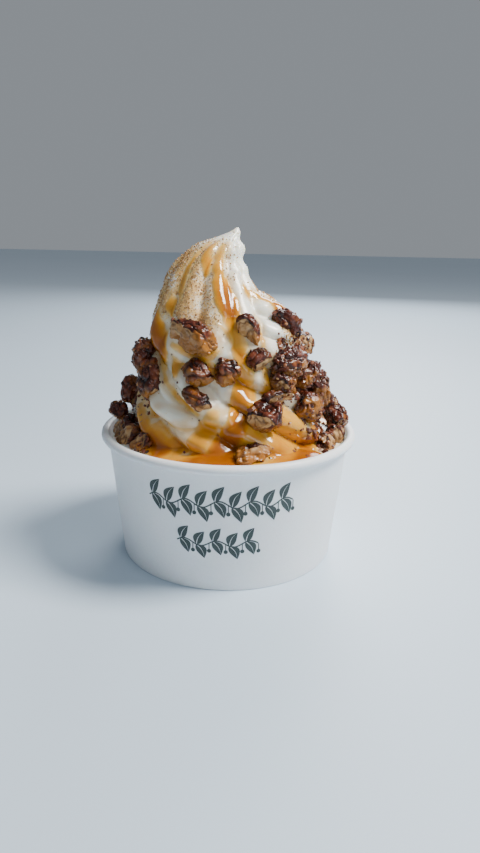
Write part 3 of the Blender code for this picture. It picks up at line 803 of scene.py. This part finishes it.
def hollowness(item, points, normals):
    """How far each point of a surface lies below its surroundings."""
    edges = np.empty(len(item.data.edges) * 2, np.int32)
    item.data.edges.foreach_get("vertices", edges)
    first, second = edges.reshape(-1, 2).T
    count = len(points)
    neighbours = np.bincount(first, minlength=count) + np.bincount(second, minlength=count)
    eased = points.copy()
    for _ in range(CREASE_ROUNDS):
        total = np.empty_like(eased)
        for axis in range(3):
            total[:, axis] = (np.bincount(first, eased[second, axis], count)
                              + np.bincount(second, eased[first, axis], count))
        eased = 0.5 * eased + 0.5 * total / neighbours[:, None]
    return np.einsum("ij,ij->i", eased - points, normals)


def drop_on(tree, start, direction):
    """Point in millimetres where a ray meets the swirl, or None."""
    hit = tree.ray_cast(Vector(start * MM), Vector(direction))[0]
    return None if hit is None else np.array(hit) / MM


def drop_inward(tree, angle, height):
    """The way out at an angle, and the point where a level ray from outside meets the swirl, or None."""
    out = polar(angle, 1, 0)
    return out, drop_on(tree, 2 * RIM_RADIUS * out + np.array([0, 0, height]), -out)


def run_samples(tree):
    """Points along the caramel: place, half width and share of the full thickness."""
    found = []
    for runs, sag in ((CARAMEL_RUNS, RUN_SAG), (CARAMEL_FILMS, FILM_SAG)):
        for stations in runs:
            rows = smooth_rows(stations, SAMPLES_PER_STATION * len(stations))
            for share, (angle, height, width) in zip(np.linspace(*sag, len(rows)), rows):
                hit = drop_inward(tree, angle, height)[1]
                if hit is not None:
                    found.append((*hit, width / 2, share))
    for stations in CARAMEL_RIM:
        for angle, radius, width in smooth_rows(stations, SAMPLES_PER_STATION * len(stations)):
            hit = drop_on(tree, polar(angle, radius, 1.5 * CUP_HEIGHT), np.array([0, 0, -1.0]))
            if hit is not None:
                found.append((*hit, width / 2, RUN_SAG[1]))
    return np.array(found)


def evened(points):
    """Points with the turns' ridges and creases evened out, so that caramel spans them."""
    radius = np.hypot(points[:, 0], points[:, 1]) + 1e-6
    even = np.interp(points[:, 2], *SPAN_PROFILE)
    share = SPAN * smoothstep(*SPAN_FADE, points[:, 2])
    scale = 1 - share + share * even / radius
    return np.column_stack([points[:, :2] * scale[:, None], points[:, 2]])


def run_field(points, samples):
    """How far each point lies inside the caramel's edge, and the thickness it would have well inside."""
    inside = np.empty(len(points))
    crown = np.empty(len(points))
    full = np.minimum(RUN_THICKNESS * samples[:, 3], RUN_LIMIT) * samples[:, 4]
    places = evened(samples[:, :3]).astype(np.float32)
    level = evened(points).astype(np.float32)
    for start in range(0, len(points), BLOCK):
        part = level[start:start + BLOCK]
        away = np.sqrt(((part[:, None] - places[None]) ** 2).sum(axis=2))
        depth = samples[:, 3] - away
        inside[start:start + BLOCK] = depth.max(axis=1)
        weight = np.clip(depth + 0.6, 0, None) ** 4 + 1e-9
        crown[start:start + BLOCK] = (weight * full).sum(axis=1) / weight.sum(axis=1)
    return inside, crown


def caramel_spread(points, crease, samples):
    """How far each point lies inside the caramel's wavering edge, and its thickness well inside."""
    near = np.flatnonzero(points[:, 2] > CARAMEL_FLOOR)
    inside = np.full(len(points), FAR_OUTSIDE)
    crown = np.zeros(len(points))
    inside[near], crown[near] = run_field(points[near], samples)
    close = np.flatnonzero(inside > -STAIN_REACH - POOLING)
    wobble = EDGE_WOBBLE * layered_noise(points[close], EDGE_NOISE)
    inside[close] += wobble + POOLING * (crease[close] - POOLING_FROM)
    return inside, crown, close


def stain_and_shade_amount(points, crease, inside, close):
    """Where a trace of syrup colours the yogurt: past the runs, in creases and on whole faces. In the
    creases low on the swirl and on the lower left front, the tint is partly painted shade.
    """
    patchy = np.zeros(len(points))
    patchy[close] = noise_at(points[close], 4.0, 15.0)
    halo = smoothstep(-STAIN_REACH, 0.4, inside + patchy)
    broad = smoothstep(-0.05, 0.35, noise_at(points, 13.0, 21.0)) * smoothstep(84, 76, points[:, 2])
    # syrup settled in creases, partly painted shade: the creases low on the swirl are tinted darker by their
    # hollowness
    groove_stain_and_shade = 0.75 * crease * broad * smoothstep(46, 50, points[:, 2])
    return np.clip(STAIN_AND_SHADE_STRENGTH * np.maximum(np.maximum(halo, groove_stain_and_shade), syrup_and_shade_veil(points)), 0, 1)


def build_caramel(swirl, surface):
    """Runs, sheets and pools of caramel as a raised skin over the swirl."""
    points, normals = read_points(swirl)
    crease = smoothstep(*CREASE_DEPTHS, hollowness(swirl, points, normals))
    inside, crown, close = caramel_spread(points, crease, run_samples(tree_of(swirl)))
    rise = 1 - np.exp(-np.maximum(inside, 0) / RUN_EDGE)
    height = np.where(inside > 0, crown * rise * (1 + CREASE_FILLING * crease), SKIRT_SLOPE * inside)
    keep = height > -RUN_SKIRT
    lifted = points + normals * np.clip(height, -RUN_SKIRT, None)[:, None]
    kept = [face for face in corners_of(swirl) if all(keep[index] for index in face)]
    used = sorted({index for face in kept for index in face})
    order = {index: place for place, index in enumerate(used)}
    faces = [tuple(order[index] for index in face) for face in kept]
    caramel = add_piece("caramel_runs", lifted[used], faces, surface)
    paint(caramel, "thickness", np.clip(height[used] / RUN_LIMIT, 0, 1))
    ease_points(caramel, CARAMEL_SMOOTHING)
    apply_modifiers(caramel)
    # syrup tint on the yogurt, with painted shade in creases and on the lower left front
    paint(swirl, "stain_and_shade", stain_and_shade_amount(points, crease, inside, close))
    return caramel


def syrup_and_shade_veil(points):
    """Where a trace of syrup tints whole faces: the peak's left front, and low down in front. On the lower
    left front the tint is stronger and is also painted shade.
    """
    drift = 4 * noise_at(points, 5.0, 50.0)
    x, y, z = points.T
    high = smoothstep(5, -3, x + drift) * smoothstep(6, -2, y)
    high *= smoothstep(80, 86, z + drift) * smoothstep(110, 102, z + drift)
    low = smoothstep(-10, -3, x + drift) * smoothstep(34, 27, x + drift)
    # the lower left gets a stronger tint, which is painted shade as well as syrup
    low = np.maximum(low, 0.7 * smoothstep(-36, -30, x + drift))
    low *= smoothstep(-6, -16, y) * smoothstep(74, 62, z + drift)
    patchy = smoothstep(-0.35, 0.25, noise_at(points, 6.5, 55.0))
    return patchy * np.maximum(0.75 * high, low)


def dust_amount(points):
    """Where brown sugar lies: the left of the peak and the right of the shoulder."""
    drift = noise_at(points, 6.0, 40.0)
    x, y, z = points.T
    peak = smoothstep(3.0, -12.0, x + 5 * drift) * smoothstep(82, 92, z + 5 * drift)
    peak *= smoothstep(118, 110, z)
    shoulder = smoothstep(9, 15, x + 0.5 * y + 3 * drift) * smoothstep(79, 84, z + 3 * drift)
    patch = 0.62 + 0.8 * noise_at(points, 7.0, 9.0)
    return np.clip(np.maximum(peak, 0.9 * shoulder) * patch, 0, 1)


def place_frame(spec):
    """Axes of a pecan piece: along its length, across it and out of the swirl."""
    angle, turn, rise = (math.radians(value) for value in (spec.angle, spec.turn, spec.rise))
    level = Vector((-math.sin(angle), math.cos(angle), 0))
    outward = Vector((math.cos(angle), math.sin(angle), 0))
    face = outward * math.cos(rise) + Vector((0, 0, 1)) * math.sin(rise)
    upward = face.cross(level)
    along = level * math.cos(turn) + upward * math.sin(turn)
    return np.array([along, face.cross(along), face])


def broken_facing(spec):
    """Direction that a piece's broken side faces."""
    sides = np.array([polar(spec.angle + 90, 1, 0), (0, 0, 1.0), polar(spec.angle, 1, 0)])
    return np.array(spec.broken) / math.hypot(*spec.broken) @ sides


def drip_places():
    """Places along the drips."""
    return np.vstack([smooth_rows([polar(*place) for place in drip], DRIP_STEPS) for drip in SYRUP_DRIPS])


def syrup_cover(points, middle, index, spec, drips):
    """Where caramel covers a piece: from its lower side up, and along the drips."""
    wet = spec.syrup - SYRUP_SLOPE * (points[:, 2] - middle) + 0.5 * noise_at(points, 3.5, index + 150)
    away = np.linalg.norm(points[:, None] - drips[None], axis=2).min(axis=1)
    dripped = smoothstep(*DRIP_REACH, away + 0.8 * noise_at(points, 2.0, index + 250))
    return np.maximum(smoothstep(*SYRUP_EDGE, wet), dripped)


def build_pecan(index, spec, drips, surface):
    """One pecan piece, wrinkled outside and flat where it broke, over its solid."""
    name = "pecan_%02d" % (index + 1)
    made = add_object("glazed_" + name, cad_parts[name].data.copy(), surface)
    remesh(made, PECAN_VOXEL, PECAN_SMOOTHING)
    points, normals = read_points(made)
    centre = points.mean(axis=0)
    local = (points - centre) @ place_frame(spec).T
    folds = np.abs(noise_at(local * np.array(WRINKLE_STRETCH), WRINKLE_SPACING, index + 1))
    crease = np.clip(1 - folds / WRINKLE_SHARE, 0, 1)
    lumps = layered_noise(points, PECAN_LUMPS, index)
    facing = broken_facing(spec)
    reach = (points - centre) @ facing
    past = reach - (spec.broken_from * reach.max() + 0.9 * noise_at(points, 2.6, index + 90))
    broken = smoothstep(*FLESH_EDGE, past)
    points -= facing * (np.maximum(past, 0) * FLESH_FLATNESS)[:, None]
    lift = PECAN_SWELL * (1 - broken) - WRINKLE * crease * (1 - 0.6 * broken) + lumps * (1 - 0.4 * broken)
    points += normals * lift[:, None]
    write_points(made, points)
    paint(made, "broken", broken)
    # the crease mask also darkens the wrinkles in the material, as painted shade
    paint(made, "crease", crease)
    paint(made, "syrup", syrup_cover(points, centre[2], index, spec, drips))
    return made, name


def grain_shape():
    """Corners and faces of a twenty-sided grain, one across."""
    golden = (1 + math.sqrt(5)) / 2
    corners = []
    for a in (-1, 1):
        for b in (-golden, golden):
            corners += [(0, a, b), (a, b, 0), (b, 0, a)]
    work = bmesh.new()
    for corner in corners:
        work.verts.new(corner)
    bmesh.ops.convex_hull(work, input=work.verts)
    work.verts.index_update()
    faces = [tuple(vertex.index for vertex in face.verts) for face in work.faces]
    work.free()
    return np.array(corners) / (2 * math.hypot(1, golden)), faces


def grain_data(shape, centre, size, rng):
    """A small uneven grain."""
    corners, faces = shape
    stretch = np.array([rng.uniform(0.55, 1.35) for _ in range(3)])
    wobble = np.array([rng.uniform(0.6, 1.25) for _ in corners])
    axis = Vector((rng.gauss(0, 1), rng.gauss(0, 1), rng.gauss(0, 1) + 0.01)).normalized()
    turn = np.array(Matrix.Rotation(rng.uniform(0, 2 * math.pi), 3, axis))
    return (corners * wobble[:, None] * stretch * size) @ turn.T + centre, faces


def grain_tones(middle, rng, part):
    """One tone for all the points of a grain."""
    return [clamped(rng.gauss(middle, TONE_SPREAD))] * len(part[0])


def add_grains(name, parts, tones, surface):
    """One piece of many grains with flat sides."""
    made = add_piece(name, *joined_data(parts), surface, smooth=False)
    paint(made, "tone", tones)
    return made


def touches_cup(point, size):
    """Whether a crumb of this size would reach the cup's wall."""
    return math.hypot(point[0], point[1]) > CRUMB_REACH - CRUMB_MARGIN * size and point[2] < CUP_HEIGHT


def scatter(name, tree, surface, count, seed, sizes, weight):
    """Grains of one kind strewn over the swirl, by a weight of the point they land on."""
    rng = random.Random(seed)
    shape = grain_shape()
    parts, tones = [], []
    for _ in range(GRAIN_TRIES * count):
        out, hit = drop_inward(tree, rng.uniform(0, 360), rng.uniform(*GRAIN_HEIGHTS))
        if hit is None:
            continue
        chance, largest = weight(hit)
        if rng.random() > chance:
            continue
        size = sizes[0] + (sizes[1] - sizes[0]) * largest * rng.random() ** 1.6
        if touches_cup(hit, size):
            continue
        parts.append(grain_data(shape, hit + out * size * 0.1, size, rng))
        tones += grain_tones(GRAIN_TONE, rng, parts[-1])
        if len(parts) == count:
            break
    return add_grains(name, parts, tones, surface)


def build_crust(pieces, surface):
    """Crumbs of sugar crust stuck to the pecan pieces."""
    rng = random.Random(CRUST_SEED)
    shape = grain_shape()
    parts, tones = [], []
    for index, (piece, spec) in enumerate(zip(pieces, PECANS)):
        points, normals = read_points(piece)
        likely = np.flatnonzero(noise_at(points, 3.4, index + 200) > 0.0)
        for place in rng.choices(likely.tolist(), k=spec.crust):
            size = CRUST_SIZES[0] + CRUST_SIZES[1] * rng.random() ** 2.2
            if touches_cup(points[place], size):
                continue
            parts.append(grain_data(shape, points[place] - normals[place] * size * 0.05, size, rng))
            tones += grain_tones(CRUST_TONE, rng, parts[-1])
    return add_grains("sugar_crust", parts, tones, surface)


def sugar_weight(point):
    """Brown sugar lies thickest on the left of the peak and the right of the shoulder."""
    x, y, z = point
    left = clamped((2.0 - x) / 14)
    top = clamped((z - 84) / 8) * clamped((118 - z) / 6)
    shoulder = clamped((x + 0.5 * y - 9) / 4) * clamped((z - 80) / 3)
    return 0.006 + 0.9 * left * top + shoulder, 1.0 + 0.6 * shoulder


def crumb_weight(point):
    """Pecan crumbs fill the gaps between the pieces on the right, and lie round the cup's rim."""
    x, y, z = point
    angle = math.degrees(math.atan2(y, x)) % 360
    rim = clamped((51 - z) / 4) * (0.25 if 230 < angle < 322 else 1.0)
    right = max(0.0, 1 - abs(angle - 335) / 32) * clamped((86 - z) / 6)
    left = max(0.0, 1 - abs(angle - 192) / 26) * clamped((84 - z) / 6)
    stray = 0.012 * clamped((92 - z) / 6)
    chance = stray + 0.8 * rim + 0.95 * right + 0.5 * left
    return chance, min(1.0, 0.25 + chance)


def seam_step(angles):
    """Extra radius of the wall round the lapped seam."""
    past = (angles - SEAM_ANGLE) % 360
    return SEAM_STEP * np.where(past < SEAM_LAP, 1.0, np.clip(1 - (past - SEAM_LAP) / SEAM_FADE, 0, 1))


def build_cup(surface):
    """Paper wall with its lapped seam, a rolled rim, a raised floor and a foot ring."""
    bead = []
    for angle in np.radians(np.linspace(BEAD_START, BEAD_END, BEAD_STEPS)):
        bead.append((RIM_RADIUS - BEAD_RADIUS + BEAD_RADIUS * math.cos(angle),
                     CUP_HEIGHT - BEAD_RADIUS + BEAD_RADIUS * math.sin(angle)))
    floor_top = FLOOR_RECESS + PAPER
    foot_inside = BASE_RADIUS - FOOT_THICKNESS
    foot = [(1.0, FLOOR_RECESS), (foot_inside - FLOOR_BEVEL, FLOOR_RECESS),
            (foot_inside, FLOOR_RECESS - FLOOR_BEVEL), (foot_inside, 0.4), (foot_inside + FOOT_BEVEL, 0.0),
            (BASE_RADIUS - FOOT_BEVEL, 0.0), (BASE_RADIUS - 0.02, 0.2)]
    wall = [(wall_radius(height), height) for height in np.linspace(0.5, bead[0][1] - 0.4, WALL_STEPS)]
    inside = [(wall_radius(floor_top + 1) - PAPER, floor_top + 1),
              (wall_radius(floor_top) - PAPER - 0.6, floor_top), (1.0, floor_top)]
    angles = np.linspace(0, 360, CUP_SEGMENTS, endpoint=False)
    stepped = range(len(foot), len(foot) + len(wall) + len(bead) // 2)
    rings = []
    for place, (radius, height) in enumerate([*foot, *wall, *bead, *inside]):
        reach = radius + (seam_step(angles) if place in stepped else 0.0)
        rings.append(ring_points(reach, np.radians(angles), height))
    made = add_piece("paper_cup", *loft_data(rings), surface)
    made.data.set_sharp_from_angle(angle=CUP_SHARP)
    return made


def leaf_half(start, heading, length, side):
    """Rows of one half of a leaf on the unrolled wall, from its stalk to its tip, beside its vein."""
    rows = []
    across = np.array([-heading[1], heading[0]])
    for step in range(LEAF_STEPS + 1):
        share = step / LEAF_STEPS
        vein = LEAF_VEIN * (1 - share)
        half = 0.5 * LEAF_WIDTH * math.sin(math.pi * share ** LEAF_FULLNESS) + vein + 2 * THINNEST
        middle = start + heading * length * share + across * LEAF_BEND * length * math.sin(math.pi * share)
        row = [middle + side * across * half, middle + side * across * vein]
        rows.append(row if side > 0 else row[::-1])
    return rows


def disc_rows(middle, radius):
    """Rows of a round berry on the unrolled wall."""
    rows = []
    for rise in np.linspace(-radius, radius, BERRY_STEPS):
        half = math.sqrt(max(0.0, radius**2 - rise**2)) + THINNEST
        rows.append([middle + np.array([rise, half]), middle + np.array([rise, -half])])
    return rows


def line_rows(places, half):
    """Rows of a thin line through places on the unrolled wall."""
    rows = []
    for before, place, after in zip([places[0], *places[:-1]], places, [*places[1:], places[-1]]):
        along = (after - before) / np.linalg.norm(after - before)
        across = np.array([-along[1], along[0]]) * half
        rows.append([place + across, place - across])
    return rows


def wall_point(place, angle):
    """Point on the cup's wall, from distance round it and height."""
    radius = wall_radius(place[1]) + INK_LIFT
    return polar(angle + math.degrees(place[0] / radius), radius, place[1])


def strip_data(rows, angle):
    """Points and faces of a printed shape wrapped on the wall."""
    points = np.array([wall_point(place, angle) for row in rows for place in row])
    faces = [(low, low + 2, low + 3, low + 1) for low in range(0, 2 * len(rows) - 2, 2)]
    return points, faces


def garland_parts(angle, height, length, half_height, pairs):
    """Wavy stem with a pair of leaves at each bend, and a berry on a stalk between pairs."""
    def stem(share):
        wave = math.sin(share * pairs * math.pi)
        return np.array([(share - 0.5) * length, height + STEM_WAVE * half_height * wave])

    places = [stem(share) for share in np.linspace(0, 1, STEM_STEPS * pairs + 1)]
    shapes = [line_rows(places, STEM_WIDTH / 2)]
    for number in range(pairs):
        start = stem((number + LEAF_PLACE) / pairs)
        for side in (-1, 1):
            heading = np.array([math.cos(LEAF_SPREAD), side * math.sin(LEAF_SPREAD)])
            shapes += [leaf_half(start, heading, LEAF_LENGTH * half_height, half) for half in (-1, 1)]
        foot = stem((number + BERRY_PLACE) / pairs)
        berry = foot - np.array([0.0, BERRY_DROP * half_height])
        shapes += [line_rows([foot, berry], STEM_WIDTH / 3), disc_rows(berry, BERRY_RADIUS)]
    return [strip_data(rows, angle) for rows in shapes]


def build_print(surface):
    """Two plain rows of leaves printed on the front of the cup."""
    parts = []
    for garland in GARLANDS:
        parts += garland_parts(*garland)
    return add_piece("printed_leaves", *joined_data(parts), surface)


def build_floor(surface):
    """Pale floor."""
    corners = [(x * FLOOR_REACH, y * FLOOR_REACH, 0) for x, y in ((-1, -1), (1, -1), (1, 1), (-1, 1))]
    floor = add_piece("floor", corners, [(0, 1, 2, 3)], surface, smooth=False)


def add_camera():
    """Camera at the photograph's viewing angle."""
    rise, roll = math.radians(CAMERA_ELEVATION), math.radians(CAMERA_ROLL)
    back = Vector((0, -math.cos(rise), math.sin(rise)))
    place = (Vector(CAMERA_TARGET) + back * CAMERA_DISTANCE) * MM
    level = Vector((1, 0, 0))
    upward = level.cross(-back)
    right = level * math.cos(roll) + upward * math.sin(roll)
    up = upward * math.cos(roll) - level * math.sin(roll)
    lens = bpy.data.cameras.new("camera")
    lens.sensor_width = SENSOR
    lens.lens = FOCAL_PX * SENSOR / PHOTO_HEIGHT_PX
    lens.clip_start = 0.01
    camera = bpy.data.objects.new("camera", lens)
    camera.matrix_world = Matrix.Translation(place) @ Matrix((right, up, back)).transposed().to_4x4()
    bpy.context.scene.collection.objects.link(camera)
    bpy.context.scene.camera = camera


def add_area(name, place, size, power, colour):
    """Soft light that faces the swirl."""
    lamp = bpy.data.lights.new(name, "AREA")
    lamp.shape = "DISK"
    lamp.size = size * MM
    lamp.energy = power
    lamp.color = colour
    light = bpy.data.objects.new(name, lamp)
    light.location = Vector(place) * MM
    aim = (Vector(LIGHTS_AIM) - Vector(place)).normalized()
    light.rotation_euler = aim.to_track_quat("-Z", "Y").to_euler()
    bpy.context.scene.collection.objects.link(light)


def add_lights():
    """The lights, with a dim cool room around."""
    for name, settings in LIGHTS.items():
        add_area(name, *settings)
    world = bpy.data.worlds.new("room")
    world.use_nodes = True
    room = world.node_tree.nodes["Background"].inputs
    room["Color"].default_value = ROOM_COLOUR
    room["Strength"].default_value = ROOM_STRENGTH
    bpy.context.scene.world = world


def main():
    """Every piece, each riding on the one body."""
    add_camera()
    add_lights()
    build_floor(floor_material())
    cup = build_cup(paper_material())
    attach(cup, "root")
    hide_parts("cup")
    leaves = build_print(ink_material())
    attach(leaves, "root")

    swirl = build_yogurt(yogurt_material())
    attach(swirl, "root")
    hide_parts("frozen_yogurt")
    paint(swirl, "dust", dust_amount(read_points(swirl)[0]))
    tree = tree_of(swirl)

    caramel = build_caramel(swirl, caramel_material())
    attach(caramel, "root")

    glaze = pecan_material()
    drips = drip_places()
    pieces = []
    for index, spec in enumerate(PECANS):
        piece, node = build_pecan(index, spec, drips, glaze)
        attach(piece, "root")
        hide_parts(node)
        pieces.append(piece)
    crust = build_crust(pieces, crust_material())

    sugar = scatter("sugar_grains", tree, sugar_material(), *SUGAR_GRAINS, sugar_weight)
    crumbs = scatter("pecan_crumbs", tree, crust_material(), *LOOSE_CRUMBS, crumb_weight)
    for piece in (sugar, crumbs, crust):
        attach(piece, "root")


main()
